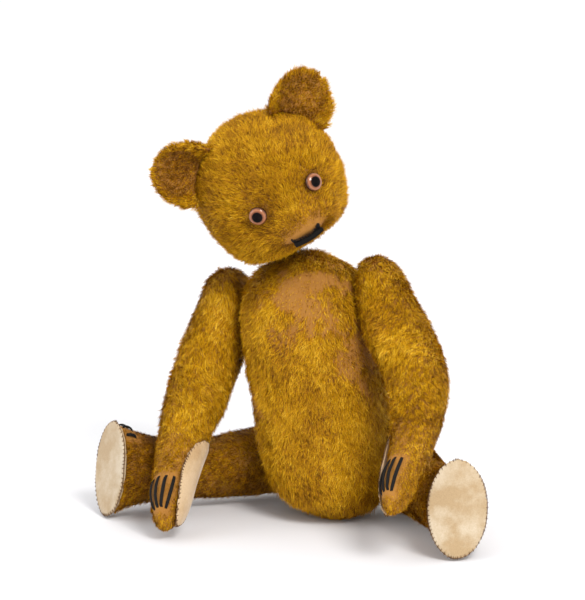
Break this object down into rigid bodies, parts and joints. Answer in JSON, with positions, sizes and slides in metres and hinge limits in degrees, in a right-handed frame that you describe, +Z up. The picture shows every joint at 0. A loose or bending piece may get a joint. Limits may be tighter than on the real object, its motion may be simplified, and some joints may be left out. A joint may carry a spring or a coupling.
{
  "type": "jointed teddy bear",
  "caption": "Vintage jointed teddy bear in worn golden mohair, seated, with disc-jointed arms, legs and head, felt pads, glass eyes and stitched nose.",
  "frame": {"origin": "middle of the flat patch under the torso that the bear sits on", "axes": "+Z up, -Y the way the bear faces, +X to the bear's own left"},
  "size_m": [0.2772, 0.1689, 0.2962],
  "materials": {
    "mohair": "worn mohair pile on a woven backing",
    "felt": "wool felt",
    "wood_wool": "packed wood wool",
    "thread": "stranded embroidery thread",
    "eye_glass": "polished amber glass",
    "eye_pupil": "black glass enamel",
    "card": "stiff card",
    "hardboard": "pressed board",
    "steel": "aged steel wire and washers"
  },
  "bodies": {
    "torso": {"torso_shell": "mohair", "torso_stuffing": "wood_wool", "neck_body_disc": "hardboard", "neck_body_washer": "steel", "left_shoulder_body_disc": "hardboard", "left_shoulder_body_washer": "steel", "left_hip_body_disc": "hardboard", "left_hip_body_washer": "steel", "right_shoulder_body_disc": "hardboard", "right_shoulder_body_washer": "steel", "right_hip_body_disc": "hardboard", "right_hip_body_washer": "steel"},
    "neck_pin": {"neck_cotter_pin": "steel"},
    "head": {"head_shell": "mohair", "head_stuffing": "wood_wool", "neck_head_disc": "hardboard", "neck_head_washer": "steel", "nose_stitching": "thread", "mouth_stitching": "thread", "left_ear": "mohair", "left_eye_glass": "eye_glass", "left_eye_pupil": "eye_pupil", "left_eye_shank": "steel", "right_ear": "mohair", "right_eye_glass": "eye_glass", "right_eye_pupil": "eye_pupil", "right_eye_shank": "steel"},
    "left_arm": {"left_arm_shell": "mohair", "left_arm_stuffing": "wood_wool", "left_paw_pad": "felt", "left_paw_claw_thread": "thread", "left_shoulder_limb_disc": "hardboard", "left_shoulder_limb_washer": "steel", "left_shoulder_cotter_pin": "steel"},
    "right_arm": {"right_arm_shell": "mohair", "right_arm_stuffing": "wood_wool", "right_paw_pad": "felt", "right_paw_claw_thread": "thread", "right_shoulder_limb_disc": "hardboard", "right_shoulder_limb_washer": "steel", "right_shoulder_cotter_pin": "steel"},
    "left_leg": {"left_leg_shell": "mohair", "left_leg_stuffing": "wood_wool", "left_foot_pad": "felt", "left_foot_card": "card", "left_foot_claw_thread": "thread", "left_hip_limb_disc": "hardboard", "left_hip_limb_washer": "steel", "left_hip_cotter_pin": "steel"},
    "right_leg": {"right_leg_shell": "mohair", "right_leg_stuffing": "wood_wool", "right_foot_pad": "felt", "right_foot_card": "card", "right_foot_claw_thread": "thread", "right_hip_limb_disc": "hardboard", "right_hip_limb_washer": "steel", "right_hip_cotter_pin": "steel"}
  },
  "joints": [
    {"name": "head_swivel", "type": "hinge", "parent": "torso", "child": "neck_pin", "pos_m": [-0.02618, 0, 0.17383], "axis": [-0.1564, 0, 0.9877], "continuous": true},
    {"name": "head_lean", "type": "hinge", "parent": "neck_pin", "child": "head", "pos_m": [-0.02822, 0, 0.18667], "axis": [-0.5379, 0.8387, -0.0852], "range_deg": [0, 22]},
    {"name": "left_shoulder", "type": "hinge", "parent": "torso", "child": "left_arm", "pos_m": [0.01934, 0, 0.15168], "axis": [-0.9877, 0, -0.1564], "range_deg": [-2, 95]},
    {"name": "right_shoulder", "type": "hinge", "parent": "torso", "child": "right_arm", "pos_m": [-0.06263, 0, 0.1387], "axis": [-0.9877, 0, -0.1564], "range_deg": [0, 95]},
    {"name": "left_hip", "type": "hinge", "parent": "torso", "child": "left_leg", "pos_m": [0.03097, 0.01823, 0.031], "axis": [-0.9563, -0.2924, 0], "range_deg": [-180, 7]},
    {"name": "right_hip", "type": "hinge", "parent": "torso", "child": "right_leg", "pos_m": [-0.03368, 0.02389, 0.031], "axis": [-0.891, 0.454, 0], "range_deg": [-180, 2]}
  ]
}
